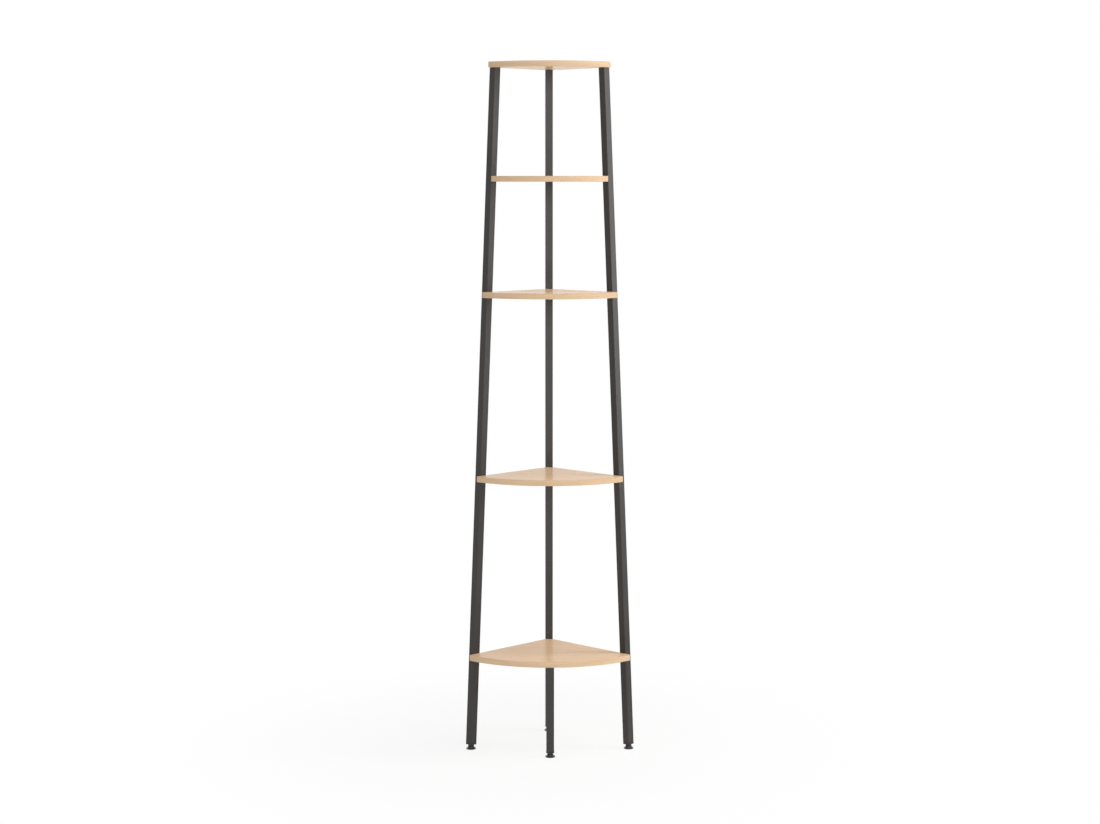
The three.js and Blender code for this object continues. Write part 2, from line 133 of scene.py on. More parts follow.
class ShelfBoardSettings(bpy.types.PropertyGroup):
    arris: mm("Arris", "Rounding of the edge band, above and below", 1.2)
    tip: mm("Tip", "Rounding of the tips, seen from above", 4)
    back_corner: mm("Back corner", "Rounding at the ends of the flat behind the back leg", 1.5)
    joint_line: mm("Joint line", "Width of the glue line between laminate and band", 0.2)
    bore: mm("Bolt bore", "Diameter of the bores for the bolts", 6.6)
    well: mm("Nut well", "Diameter of the wells for the barrel nuts", 10.6)
    skin: mm("Skin", "Board left above a well", 2)
    sink: mm("Countersink", "Diameter of the countersinks in the top board", 12.6)
    pilot: mm("Pilot", "Diameter of the holes for the front leg's screws", 4.6)
    pilot_depth: mm("Pilot depth", "Depth of the holes for the front leg's screws", 10.8)
    wood: tint("Wood", "Main colour of the laminate", (241, 206, 169))
    streak: tint("Streak", "Colour of the laminate's darker grain", (221, 182, 140))
    band: tint("Band", "Main colour of the edge band", (215, 186, 153))
    band_streak: tint("Band streak", "Colour of the edge band's grain", (203, 169, 133))
    pore: tint("Pore", "Colour of the short flecks", (182, 146, 110))
    chip: tint("Chip", "Colour of the board's core in the wells", (196, 164, 120))
    roughness: fraction("Roughness", "Roughness of the laminate", 0.2)
    gloss: fraction("Gloss", "Strength of the laminate's reflections", 0.035)


class ShelfTubeSettings(bpy.types.PropertyGroup):
    size: mm("Tube", "Width of the square tube", 20)
    wall: mm("Wall", "Thickness of the tube's wall", 1.2)
    corner: mm("Corner", "Outer rounding of the tube's corners", 0.9)
    inner_corner: mm("Inner corner", "Inner rounding of the tube's corners", 0.5)
    deburr: mm("Deburr", "Easing of the sawn ends", 0.25)
    plate: mm("Plate", "Thickness of the front leg's plate", 3)
    coat: tint("Coat", "Colour of the powder coat", (51, 48, 46))
    roughness: fraction("Roughness", "Roughness of the powder coat", 0.36)
    gloss: fraction("Gloss", "Strength of the powder coat's reflections", 0.3)
    grain: mm("Texture", "Size of the powder coat's texture", 0.7)


class ShelfFixingSettings(bpy.types.PropertyGroup):
    shank: mm("Shank", "Diameter of the bolts and top screws", 6)
    pitch: mm("Pitch", "Thread pitch of the bolts and top screws", 1)
    key_width: mm("Key", "Width across the flats of the hexagon sockets", 4)
    head_height: mm("Head", "Height of the bolts' button heads", 3.3)
    threaded: mm("Threaded", "Length of the thread on the bolts", 22)
    slot_width: mm("Slot width", "Width of the barrel nuts' slots", 1.4)
    slot_depth: mm("Slot depth", "Depth of the barrel nuts' slots", 1.2)
    zinc: tint("Zinc", "Colour of the plated steel", (198, 199, 201))
    steel: tint("Steel", "Colour of the bare steel", (150, 150, 152))


class ShelfFootSettings(bpy.types.PropertyGroup):
    bore: mm("Bore", "Diameter of the insert's bore", 8.6)
    flange: mm("Flange", "Thickness of the insert's flange", 2.2)
    body: mm("Body", "Width of the insert inside the tube", 17)
    stud: mm("Stud", "Diameter of the stud", 8)
    pitch: mm("Pitch", "Thread pitch of the stud", 1.25)
    hexagon: mm("Hexagon", "Width across the flats of the hexagon", 14)
    hexagon_height: mm("Hexagon height", "Height of the hexagon", 3.2)
    neck: mm("Neck", "Diameter between hexagon and ball", 5.2)
    plastic: tint("Plastic", "Colour of the pads and inserts", (27, 26, 26))
    blacking: tint("Blacking", "Colour of the blackened studs", (52, 50, 48))


# Reading the frame


def corners(node):
    """All points of a CAD node, one row each."""
    mesh = frame["nodes"][node].data
    flat = np.empty(3 * len(mesh.vertices), np.float32)
    mesh.vertices.foreach_get("co", flat)
    return flat.reshape(-1, 3).astype(float)


def middle_of(node):
    low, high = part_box(node)
    return np.array((low + high) / 2, float)


class Axes:
    """Local axes of a piece: a local row (x, y, z) is the world point origin + x X + y Y + z Z."""

    def __init__(self, origin, x, z):
        across = np.cross(z, x)
        across = across / np.linalg.norm(across)
        up = np.array(z, float) / np.linalg.norm(z)
        self.origin = np.array(origin, float)
        self.basis = np.array([np.cross(across, up), across, up])

    def world(self, rows):
        return self.origin + rows @ self.basis

    def span(self, node):
        """Lowest and highest local coordinates of a CAD node."""
        local = (corners(node) - self.origin) @ self.basis.T
        return local.min(axis=0), local.max(axis=0)


def level(turn):
    """Level direction turned from the world's X: (cos turn, sin turn, 0)."""
    return (math.cos(turn), math.sin(turn), 0)


def leg_axes(leg):
    """Axes of a leg: Z runs up along it from the ball of its foot."""
    joint = JOINTS[f"{leg}_foot_turn"]
    return Axes(joint["pos_m"], level(LEG_TURNS[leg]), [-value for value in joint["axis"]])


def bolt_axes(bolt, leg):
    """Axes of a shelf bolt: X runs up, and Z runs level along it to the wall side of its leg."""
    return Axes(middle_of(bolt), UP, level(WALL_TURNS[leg]))


def upright(node, height, x=(1, 0, 0)):
    """Upright axes through the middle of a CAD node, with their origin at a height."""
    middle = middle_of(node)
    return Axes((middle[0], middle[1], height), x, UP)


# Shapes


class Outline:
    """Closed outline, anticlockwise, of arcs joined by straight lines.

    Each arc is centre, radius, first angle, last angle, steps, and whether a straight side comes before
    and after it. Moved inwards by d, its points are centre + (radius - d) (cos a, sin a). Towards a
    straight side one more point follows at HOLD along the tangent.
    """

    def __init__(self, *arcs):
        base, radius, normal = [], [], []
        for centre, reach, first, last, steps, straight in arcs:
            angles = np.linspace(first, last, steps + 1)
            away = np.column_stack([np.cos(angles), np.sin(angles)])
            along = np.column_stack([-np.sin(angles), np.cos(angles)])
            places = np.repeat([centre], steps + 1, axis=0).astype(float)
            if straight[0]:
                places = np.vstack([centre - HOLD * along[0], places])
                away = np.vstack([away[0], away])
            if straight[1]:
                places = np.vstack([places, centre + HOLD * along[-1]])
                away = np.vstack([away, away[-1]])
            base.append(places)
            normal.append(away)
            radius.append(np.full(len(places), float(reach)))
        self.base = np.vstack(base + [base[0][:1]])
        self.normal = np.vstack(normal + [normal[0][:1]])
        self.radius = np.concatenate(radius + [radius[0][:1]])

    def rings(self, section):
        """One ring for each pair of inset and height in the section."""
        inset, height = np.asarray(section, float).T
        flat = self.base + (self.radius - inset[:, None])[..., None] * self.normal
        levels = np.broadcast_to(height[:, None, None], flat.shape[:2] + (1,))
        return np.concatenate([flat, levels], axis=2)

    def lengths(self):
        """Distance along the outline to each of its points."""
        edge = self.base + self.radius[:, None] * self.normal
        steps = np.linalg.norm(np.diff(edge, axis=0), axis=1)
        return np.concatenate([[0], np.cumsum(steps)])


def rounded_plate(length, width, radius, steps, centre=(0, 0), straight=True):
    """Rectangle with round corners: quarter circles centred half a side - radius off each axis."""
    signs = np.array([(1, 1), (-1, 1), (-1, -1), (1, -1)])
    places = np.array(centre) + np.array([length / 2 - radius, width / 2 - radius]) * signs
    ends = (straight, straight)
    arcs = [(place, radius, k * QUARTER, (k + 1) * QUARTER, steps, ends) for k, place in enumerate(places)]
    return Outline(*arcs)


def rounded_square(size, radius, steps, straight=True):
    return rounded_plate(size, size, radius, steps, straight=straight)


def stacked(rows):
    """Grid of one ring for each row of outline, inset and height."""
    return np.array([outline.rings([(inset, height)])[0] for outline, inset, height in rows])


def eased(points, radius, steps=3):
    """Section whose inner corners are Bezier curves: (1-t)^2 A + 2t(1-t) P + t^2 B about each corner P.

    A and B lie at the radius from P, or at 0.4 of a shorter side, and a further point lies HOLD beyond each.
    """
    points = np.asarray(points, float)
    before, corner, after = points[:-2], points[1:-1], points[2:]
    t = np.linspace(0, 1, steps + 1)[None, :, None]

    def towards(other):
        gap = np.linalg.norm(other - corner, axis=1, keepdims=True)
        reach = np.minimum(radius, 0.4 * gap)
        direction = (other - corner) / gap
        return corner + reach * direction, corner + (reach + np.minimum(HOLD, 0.05 * gap)) * direction

    start, start_hold = towards(before)
    end, end_hold = towards(after)
    curve = (1 - t) ** 2 * start[:, None] + 2 * t * (1 - t) * corner[:, None] + t**2 * end[:, None]
    curves = np.concatenate([start_hold[:, None], curve, end_hold[:, None]], axis=1).reshape(-1, 2)
    return np.vstack([points[:1], curves, points[-1:]])


def turned(rows, columns):
    """Grid round the axis: point = (radius cos a, radius sin a, height).

    Each row is radius and height, and each of these is one number or one for every angle.
    """
    angles = np.linspace(0, TAU, columns + 1)
    radius = np.array([np.broadcast_to(row[0], angles.shape) for row in rows])
    height = np.array([np.broadcast_to(row[1], angles.shape) for row in rows])
    return np.stack([radius * np.cos(angles), radius * np.sin(angles), height], axis=2)


def arc(radius, rise, first, last, steps, middle=0):
    """Rows of an arc for turned(): radius = radius x cos a, height = middle + rise x sin a."""
    return [(radius * math.cos(a), middle + rise * math.sin(a)) for a in np.linspace(first, last, steps)]


def hexagon_radius(width, columns):
    """Distance from the axis to a hexagon: half its width over the cosine of the angle off each flat."""
    angles = np.linspace(0, TAU, columns + 1)
    off_flat = (angles + TAU / 12) % (TAU / 6) - TAU / 12
    return width / 2 / np.cos(off_flat)


def cross_radius(arm, half_width, columns):
    """Distance from the axis to an upright cross: arm / cos b near an arm, half width / sin b between."""
    angles = np.linspace(0, TAU, columns + 1)
    folded = np.abs((angles + TAU / 8) % (TAU / 4) - TAU / 8)
    return np.minimum(arm / np.cos(folded), half_width / np.maximum(np.sin(folded), 0.001))


def thread_rows(radius, pitch, low, high, columns):
    """Rows of a right-hand thread: radius less the depth times a wave of height / pitch - angle / turn.

    The wave is a straight flank between a flat crest and a flat root, and it fades out at both ends.
    """
    rows_per_turn, steepness = 8, 2.9
    depth = 0.6 * pitch
    count = max(2, int(round((high - low) / pitch * rows_per_turn)))
    heights = np.linspace(low, high, count + 1)
    rise = heights[:, None]
    phase = (rise / pitch - np.linspace(0, 1, columns + 1)) % 1
    wave = np.clip(np.abs(phase - 0.5) * steepness - 0.5, 0, 1)
    fade = np.minimum(1, np.minimum(rise - low, high - rise) / pitch)
    return list(zip(radius - depth * (1 - fade * (1 - wave)), heights))


# Marks of a surface in the UV map Part
SHEET, BAND, GLUE_LINE, CORE = (0, 0), (1, 0), (0.5, 0), (0, 1)


def grid_faces(rows, columns, first=0):
    """Four-sided faces of a grid whose points are numbered row by row."""
    index = first + np.arange(rows * columns).reshape(rows, columns)
    quads = np.stack([index[:-1, :-1], index[:-1, 1:], index[1:, 1:], index[1:, :-1]], axis=-1)
    return quads.reshape(-1, 4).tolist()


def add_object(name, data):
    made = bpy.data.objects.new(name, data)
    bpy.context.scene.collection.objects.link(made)
    return made


class Skin:
    """Grids and flat ends of one piece in local axes, welded into one closed mesh.

    The UV map Grain holds metres along and across the grain, and the UV map Part the surface's mark.
    """

    def __init__(self):
        self.points, self.faces, self.grain, self.part = [], [], [], []
        self.count = 0

    def _add(self, points, faces, grain, part):
        self.points.append(points)
        self.faces.extend(faces)
        self.grain.append(points[:, :2] if grain is None else grain)
        self.part.append(np.broadcast_to(np.array(part, float), (len(points), 2)))
        self.count += len(points)

    def grid(self, points, grain=None, part=SHEET):
        faces = grid_faces(*points.shape[:2], self.count)
        grain = None if grain is None else grain.reshape(-1, 2)
        self._add(points.reshape(-1, 3), faces, grain, part)

    def end(self, ring, grain=None):
        """Flat face inside a ring whose last point repeats the first."""
        face = [list(range(self.count, self.count + len(ring) - 1))]
        self._add(ring[:-1], face, None if grain is None else grain[:-1], SHEET)

    def block(self, rings):
        """Grid with a flat end inside its first and its last ring."""
        self.grid(rings)
        self.end(rings[0])
        self.end(rings[-1])

    def build(self, name, axes, finish=None):
        mesh = bpy.data.meshes.new(name)
        mesh.from_pydata(axes.world(np.concatenate(self.points)).tolist(), [], self.faces)
        of_vertex = np.empty(len(mesh.loops), np.int32)
        mesh.loops.foreach_get("vertex_index", of_vertex)
        for layer, values in (("Grain", self.grain), ("Part", self.part)):
            chosen = np.concatenate(values)[of_vertex].astype(np.float32)
            mesh.uv_layers.new(name=layer).data.foreach_set("uv", chosen.ravel())
        weld(mesh)
        if finish:
            mesh.materials.append(finish)
        return add_object(name, mesh)


def weld(mesh):
    """Merges coincident points, turns all faces outwards and raises an error where the mesh is open."""
    work = bmesh.new()
    work.from_mesh(mesh)
    bmesh.ops.remove_doubles(work, verts=work.verts, dist=WELD)
    bmesh.ops.recalc_face_normals(work, faces=work.faces)
    ragged = sum(len(edge.link_faces) != 2 for edge in work.edges)
    work.to_mesh(mesh)
    work.free()
    if ragged:
        raise RuntimeError(f"{mesh.name} has {ragged} edges that don't join two faces")
    shade(mesh)


def shade(mesh):
    mesh.shade_smooth()
    mesh.set_sharp_from_angle(angle=SHARP)


def closed_piece(name, axes, grid, finish=None, part=SHEET):
    """Piece of one grid that closes on itself."""
    skin = Skin()
    skin.grid(grid, part=part)
    return skin.build(name, axes, finish)


def rod(axes, radius, low, high, part=SHEET):
    """Plain cylinder that cuts a hole: a circle swept from low to high along Z."""
    rows = [(0, low), (radius, low), (radius, high), (0, high)]
    return closed_piece("cutter", axes, turned(rows, columns=32), part=part)


def combine(piece, other, operation):
    """Cuts the other piece out of a piece, or joins it on, and removes the other."""
    step = piece.modifiers.new("Combine", "BOOLEAN")
    step.operation = operation
    step.solver = "EXACT"
    step.object = other
    bpy.context.view_layer.update()
    made = bpy.data.meshes.new_from_object(piece.evaluated_get(bpy.context.evaluated_depsgraph_get()))
    piece.modifiers.clear()
    old = piece.data
    piece.data = made
    made.name = old.name
    bpy.data.meshes.remove(old)
    bpy.data.meshes.remove(other.data)
    shade(made)


def cut(piece, cutter):
    combine(piece, cutter, "DIFFERENCE")


def stand_for(piece, node):
    """The piece takes a CAD node's place: the node is hidden, and the piece rides on the node's body."""
    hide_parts(node)
    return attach(piece, BODY_OF[node])


def make_turned(node, kind, axes, rows, columns):
    """Closed turned piece that stands for a CAD node."""
    grid = turned(rows, columns)
    return stand_for(closed_piece(f"{node}_{kind}", axes, grid, finish_of(node)), node)


# Finishes


class Value:
    """Socket of a shader node in an expression: sums, products and powers add Math nodes to its finish."""

    def __init__(self, finish, socket):
        self.finish = finish
        self.socket = socket

    def _math(self, operation, first, second):
        return self.finish.add("ShaderNodeMath", {0: first, 1: second}, operation=operation)

    def __add__(self, other):
        return self._math("ADD", self, other)

    __radd__ = __add__

    def __sub__(self, other):
        return self._math("SUBTRACT", self, other)

    def __rsub__(self, other):
        return self._math("SUBTRACT", other, self)

    def __mul__(self, other):
        return self._math("MULTIPLY", self, other)

    __rmul__ = __mul__

    def __pow__(self, other):
        return self._math("POWER", self, other)

    def __gt__(self, other):
        return self._math("GREATER_THAN", self, other)


class Finish:
    """Material, or the surroundings, under construction.

    add() makes any node: its settings first, given by name, and then the values or links of its sockets.
    """

    def __init__(self, name, store="materials"):
        self.made = getattr(bpy.data, store).new(name)
        self.made.use_nodes = True
        self.tree = self.made.node_tree
        self.tree.nodes.clear()

    def add(self, kind, values=None, out=0, **settings):
        node = self.tree.nodes.new(kind)
        for name, value in settings.items():
            setattr(node, name, value)
        for name, value in (values or {}).items():
            if isinstance(value, Value):
                self.tree.links.new(value.socket, node.inputs[name])
            else:
                node.inputs[name].default_value = value
        if isinstance(out, tuple):
            return [Value(self, node.outputs[name]) for name in out]
        return Value(self, node.outputs[out]) if node.outputs else None

    def place(self):
        """Object coordinates, in metres."""
        return self.add("ShaderNodeTexCoord", out="Object")

    def noise(self, vector, scale, detail, roughness=0.5):
        """Noise of so many cells to the metre."""
        values = {"Vector": vector, "Scale": scale, "Detail": detail, "Roughness": roughness}
        return self.add("ShaderNodeTexNoise", values)

    def grained(self, grain, along, across, detail, roughness=0.5):
        """Noise of so many cells to the metre along and across the grain."""
        spread = self.add("ShaderNodeMapping", {"Vector": grain, "Scale": (along, across, 1)})
        return self.noise(spread, 1, detail, roughness)

    def band(self, value, low, high):
        """0 below low and 1 above high, with a smooth rise between."""
        values = {"Value": value, "From Min": low, "From Max": high}
        return self.add("ShaderNodeMapRange", values, interpolation_type="SMOOTHSTEP")

    def mix(self, share, first, second):
        """Colour between two colours."""
        values = {0: share, 6: solid(first), 7: solid(second)}
        return self.add("ShaderNodeMix", values, out=2, data_type="RGBA")

    def tints(self, share, colour, dark, light):
        """Colour between a colour times dark and the same times light."""
        base = np.array(colour)
        return self.mix(share, tuple(base * dark), tuple(base * light))

    def bump(self, height, distance, strength):
        values = {"Height": height, "Distance": distance, "Strength": strength}
        return self.add("ShaderNodeBump", values)

    def surface(self, values):
        """Principled surface and the output node."""
        shader = self.add("ShaderNodeBsdfPrincipled", values)
        self.add("ShaderNodeOutputMaterial", {"Surface": shader})
        return self.made


def solid(colour):
    """Colour with alpha, or a link as it is."""
    return colour if isinstance(colour, Value) else (*colour, 1.0)


def laminate(settings):
    """Wood laminate with a weak clear gloss: long soft streaks, fine lines and short pores along the grain.

    The edge band has its own colours, the glue line is darker, and the core in the wells is chipboard.
    """
    finish = Finish("maple_laminate")
    grain = finish.add("ShaderNodeUVMap", uv_map="Grain")
    part = finish.add("ShaderNodeUVMap", uv_map="Part")
    band, core = finish.add("ShaderNodeSeparateXYZ", {0: part}, out=("X", "Y"))
    drift = finish.grained(grain, 3, 9, detail=1)
    wander = finish.add("ShaderNodeCombineXYZ", {"X": 0.0, "Y": drift * 0.02, "Z": 0.0})
    bent = finish.add("ShaderNodeVectorMath", {0: grain, 1: wander}, operation="ADD")
    streaks = finish.grained(bent, 5, 95, detail=3, roughness=0.55)
    lines = finish.grained(bent, 22, 900, detail=2)
    flecks = finish.grained(bent, 130, 1900, detail=1)
    pores = finish.band(flecks, 0.66, 0.76)
    darkness = finish.band(streaks, 0.36, 0.68) * 0.42 + finish.band(lines, 0.4, 0.7) * 0.2
    light = finish.mix(band > 0.75, settings.wood, settings.band)
    dark = finish.mix(band > 0.75, settings.streak, settings.band_streak)
    sheet = finish.mix(darkness, light, dark)
    sheet = finish.mix(pores * 0.3, sheet, settings.pore)
    glue_line = (band > 0.25) * (1 - (band > 0.75))
    sheet = finish.mix(glue_line * 0.55, sheet, settings.pore)
    cells = finish.add("ShaderNodeTexVoronoi", {"Vector": finish.place(), "Scale": 620.0}, out="Color")
    tone = finish.add("ShaderNodeSeparateColor", {"Color": cells})
    chips = finish.mix(tone * 0.5, settings.chip, settings.pore)
    height = lines * 0.5 - pores + tone * core * 6
    return finish.surface({
        "Base Color": finish.mix(core, sheet, chips),
        "Roughness": settings.roughness + lines * 0.08 + core * 0.5,
        "Normal": finish.bump(height, 0.02 * MM, 0.5),
        "Specular IOR Level": settings.gloss,
    })


def powder_coat(settings):
    """Satin powder coat: fine orange peel, with the faintest change of tone and gloss."""
    finish = Finish("powder_coat_finish")
    place = finish.place()
    peel = finish.noise(place, 1 / settings.grain, detail=2)
    cloud = finish.noise(place, 7.0, detail=3)
    return finish.surface({
        "Base Color": finish.tints(finish.band(cloud, 0.3, 0.7), settings.coat, 0.92, 1.1),
        "Roughness": settings.roughness + cloud * 0.06 + peel * 0.04,
        "Normal": finish.bump(peel, 0.08 * MM, 0.5),
        "Specular IOR Level": settings.gloss,
    })


def metal(name, colour, roughness):
    """Metal with a fine grain and faint cloudy patches."""
    finish = Finish(name)
    place = finish.place()
    cloud = finish.noise(place, 180.0, detail=3)
    fine = finish.noise(place, 2600.0, detail=2)
    return finish.surface({
        "Base Color": finish.tints(finish.band(cloud, 0.3, 0.7), colour, 0.86, 1),
        "Metallic": 1.0,
        "Roughness": roughness + cloud * 0.12,
        "Normal": finish.bump(fine, 0.01 * MM, 0.3),
    })


def moulded(settings):
    """Black moulded plastic with a fine spark-eroded texture."""
    finish = Finish("moulded_plastic")
    place = finish.place()
    fine = finish.noise(place, 1500.0, detail=2)
    cloud = finish.noise(place, 60.0, detail=2)
    return finish.surface({
        "Base Color": finish.tints(cloud, settings.plastic, 0.85, 1.15),
        "Roughness": 0.3 + fine * 0.12,
        "Normal": finish.bump(fine, 0.03 * MM, 0.4),
    })


def blackened(settings):
    """Blackened steel: dark, half metallic and a little cloudy."""
    finish = Finish("blackened_steel")
    cloud = finish.noise(finish.place(), 300.0, detail=3)
    return finish.surface({
        "Base Color": finish.tints(cloud, settings.blacking, 0.75, 1.3),
        "Metallic": 0.5,
        "Roughness": 0.36 + cloud * 0.12,
        "Normal": finish.bump(cloud, 0.02 * MM, 0.3),
    })


# How the finish of each material slot is made, and the finishes made so far
MAKERS = {
    "wood": lambda scene: laminate(scene.shelf_boards),
    "powder_coat": lambda scene: powder_coat(scene.shelf_tubes),
    "raw_steel": lambda scene: metal("bare_steel", scene.shelf_fixings.steel, 0.4),
    "zinc_screws": lambda scene: metal("zinc_plate", scene.shelf_fixings.zinc, 0.24),
    "foot_steel": lambda scene: blackened(scene.shelf_feet),
    "black_plastic": lambda scene: moulded(scene.shelf_feet),
}
FINISHES = {}


def finish_of(node):
    """The finish of a CAD node's material slot, made at its first use."""
    slot = SLOT_OF[node]
    if slot not in FINISHES:
        FINISHES[slot] = MAKERS[slot](bpy.context.scene)
    return FINISHES[slot]


# Boards


def board_outline(radius, half_flat, tip, back):
    """Quarter circle about the corner of two straight sides, which is cut off square at half_flat.

    A tip's circle touches the side and the front arc, so its centre lies at radius - tip from the
    corner, turned from the side by the angle whose sine is tip / (radius - tip).
    """
    left, right = math.radians(225), math.radians(315)
    reach = radius - tip
    turn = math.asin(tip / reach)
    flat_x = half_flat - back * (math.sqrt(2) - 1)
    flat_y = -half_flat - back
    tip_left = reach * np.array([math.cos(left + turn), math.sin(left + turn)])
    tip_right = reach * np.array([math.cos(right - turn), math.sin(right - turn)])
    return Outline(
        (np.array([-flat_x, flat_y]), back, QUARTER, left - QUARTER, 4, (True, True)),
        (tip_left, tip, left - QUARTER, left + turn, 10, (True, False)),
        (np.zeros(2), radius, left + turn, right - turn, 110, (False, False)),
        (tip_right, tip, right - turn, right + QUARTER, 10, (False, True)),
        (np.array([flat_x, flat_y]), back, right + QUARTER - TAU, QUARTER, 4, (True, True)),
    )


def board_skin(radius, half_flat, thickness, settings, shift):
    """Sheets above and below, with the edge band carried round the outline between them.

    The band's arrises are quarter circles: inset = arris (1 - sin a), depth = arris (1 - cos a).
    """
    outline = board_outline(radius, half_flat, settings.tip, settings.back_corner)
    bend = np.linspace(0, QUARTER, 5)
    arris = settings.arris
    upper = np.column_stack([arris * (1 - np.sin(bend)), thickness - arris * (1 - np.cos(bend))])
    held = [(0, thickness - arris - HOLD), (0, arris + HOLD)]
    lower = np.column_stack([arris * (1 - np.cos(bend)), arris * (1 - np.sin(bend))])
    section = np.vstack([upper, held, lower])
    run = np.concatenate([[0], np.cumsum(np.linalg.norm(np.diff(section, axis=0), axis=1))])
    grain = np.stack(np.meshgrid(outline.lengths() + shift, run + shift), axis=2)
    skin = Skin()
    skin.grid(outline.rings(section), grain, BAND)
    inner = arris + settings.joint_line
    for height in (thickness, 0):
        line = outline.rings([(arris, height), (inner, height)])
        skin.grid(line, line[..., :2] + shift, GLUE_LINE)
        skin.end(line[1], line[1][:, :2] + shift)
    return skin


def make_board(name, corner_y, index, settings):
    """A board about its corner, each with the grain from another place, and its thickness."""
    low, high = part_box(name)
    thickness = high.z - low.z
    grain_step = 0.9
    skin = board_skin(corner_y - low.y, corner_y - high.y, thickness, settings, grain_step * (index + 1))
    board = skin.build(f"{name}_board", Axes((0, corner_y, low.z), (1, 0, 0), UP), finish_of(name))
    return board, thickness


def cut_fixings(board, node, thickness, settings):
    """A blind well from below for each nut, and a bore from the edge into it for the bolt."""
    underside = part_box(node)[0].z
    for leg in LONG_LEGS:
        well = upright(f"{node}_{leg}_barrel_nut", underside)
        cut(board, rod(well, settings.well / 2, -OVERCUT, thickness - settings.skin, CORE))
        bolt = f"{node}_{leg}_bolt"
        bore = bolt_axes(bolt, leg)
        low, high = bore.span(bolt)
        cut(board, rod(bore, settings.bore / 2, low[2], high[2], CORE))
    if node == "bottom_shelf":
        for screw in PLATE_SCREWS:
            pilot = upright(screw, underside)
            cut(board, rod(pilot, settings.pilot / 2, -OVERCUT, settings.pilot_depth, CORE))


def cut_countersinks(board, thickness, settings):
    """Through holes that open as a cone to the screw's head: radius grows as height rises."""
    narrow, wide = settings.bore / 2, settings.sink / 2
    rim = 0.8 * MM
    cone = -rim - (wide - narrow)
    below = -thickness - OVERCUT
    rows = [(0, below), (narrow, below), (narrow, cone), (wide, -rim), (wide, OVERCUT), (0, OVERCUT)]
    for leg in LONG_LEGS:
        axes = upright(f"top_shelf_{leg}_screw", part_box("top_shelf")[1].z)
        cut(board, closed_piece("cutter", axes, turned(rows, columns=48), part=CORE))


class SHELFUNIT_OT_boards(bpy.types.Operator):
    """Make the five quarter-round boards, with bores, nut wells and countersinks"""

    bl_idname = "shelf_unit.boards"
    bl_label = "Boards"

    def execute(self, context):
        settings = context.scene.shelf_boards
        corner_y = middle_of("back_leg_lower")[1]
        for index, shelf in enumerate(SHELVES):
            node = f"{shelf}_shelf"
            board, thickness = make_board(node, corner_y, index, settings)
            cut_fixings(board, node, thickness, settings)
            stand_for(board, node)
        leg_inset = corner_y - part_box("bottom_shelf")[1].y
        top_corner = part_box("top_shelf")[1].y + leg_inset
        board, thickness = make_board("top_shelf", top_corner, len(SHELVES), settings)
        cut_countersinks(board, thickness, settings)
        stand_for(board, "top_shelf")
        return {"FINISHED"}


# Leg tubes


def tube_grid(settings, bottom, top, slope=0.0):
    """Square tube from bottom to top: outer skin, top edge, inner skin and bottom edge in one loop.

    The height of a top point is top + slope x, which makes the end level on a leaning leg.
    """
    outer = rounded_square(settings.size, settings.corner, 6)
    inner = rounded_square(settings.size - 2 * settings.wall, settings.inner_corner, 6)
    ease = settings.deburr
    upper = stacked([(outer, 0, top - ease), (outer, ease, top), (inner, -ease, top), (inner, 0, top - ease)])
    upper[..., 2] += slope * upper[..., 0]
    inside = bottom + ease
    lower = stacked([(inner, 0, inside), (inner, -ease, bottom), (outer, ease, bottom), (outer, 0, inside)])
    return np.concatenate([lower[-1:], upper, lower])


def bolt_holes(tube, node, leg):
    """Cuts a bolt's bore wherever the bolt of a shelf crosses the tube."""
    low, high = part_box(node)
    bore = bpy.context.scene.shelf_boards.bore
    for shelf in SHELVES:
        bolt = f"{shelf}_shelf_{leg}_bolt"
        axes = bolt_axes(bolt, leg)
        if low.z < axes.origin[2] < high.z:
            start, end = axes.span(bolt)
            cut(tube, rod(axes, bore / 2, start[2], end[2] + OVERCUT))


def make_long_leg(leg, settings):
    """Lower tube sawn square, and upper tube sawn level under the top board."""
    axes = leg_axes(leg)
    for part in ("lower", "upper"):
        node = f"{leg}_leg_{part}"
        low, high = axes.span(node)
        top, slope = high[2], 0.0
        if part == "upper":
            rise_x, rise_z = axes.basis[0][2], axes.basis[2][2]
            top = (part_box(node)[1].z - axes.origin[2]) / rise_z
            slope = -rise_x / rise_z
        tube = closed_piece(f"{node}_tube", axes, tube_grid(settings, low[2], top, slope), finish_of(node))
        bolt_holes(tube, node, leg)
        stand_for(tube, node)


def make_front_leg(settings):
    """Tube welded under a plate that reaches back under the lowest board."""
    plate_corner, plate_ease, hole_radius = 1.5 * MM, 0.3 * MM, 2.3 * MM
    axes = leg_axes("front")
    low, high = axes.span("front_leg")
    under_plate, over_plate = high[2] - settings.plate, high[2]
    grid = tube_grid(settings, low[2], under_plate + settings.plate / 2)
    leg = closed_piece("front_leg_tube", axes, grid, finish_of("front_leg"))
    centre = ((high[0] + low[0]) / 2, 0)
    outline = rounded_plate(high[0] - low[0], high[1] - low[1], plate_corner, 5, centre)
    plate = Skin()
    plate.block(outline.rings([
        (plate_ease, under_plate),
        (0, under_plate + plate_ease),
        (0, over_plate - plate_ease),
        (plate_ease, over_plate),
    ]))
    combine(leg, plate.build("plate", axes), "UNION")
    for screw in PLATE_SCREWS:
        hole = upright(screw, axes.world(np.array([0, 0, under_plate]))[2])
        cut(leg, rod(hole, hole_radius, -OVERCUT, OVERCUT))
    stand_for(leg, "front_leg")


class SHELFUNIT_OT_legs(bpy.types.Operator):
    """Make the leg tubes: three long legs of two tubes each, and the short front leg"""

    bl_idname = "shelf_unit.legs"
    bl_label = "Leg Tubes"

    def execute(self, context):
        settings = context.scene.shelf_tubes
        for leg in LONG_LEGS:
            make_long_leg(leg, settings)
        make_front_leg(settings)
        return {"FINISHED"}


# Fixings

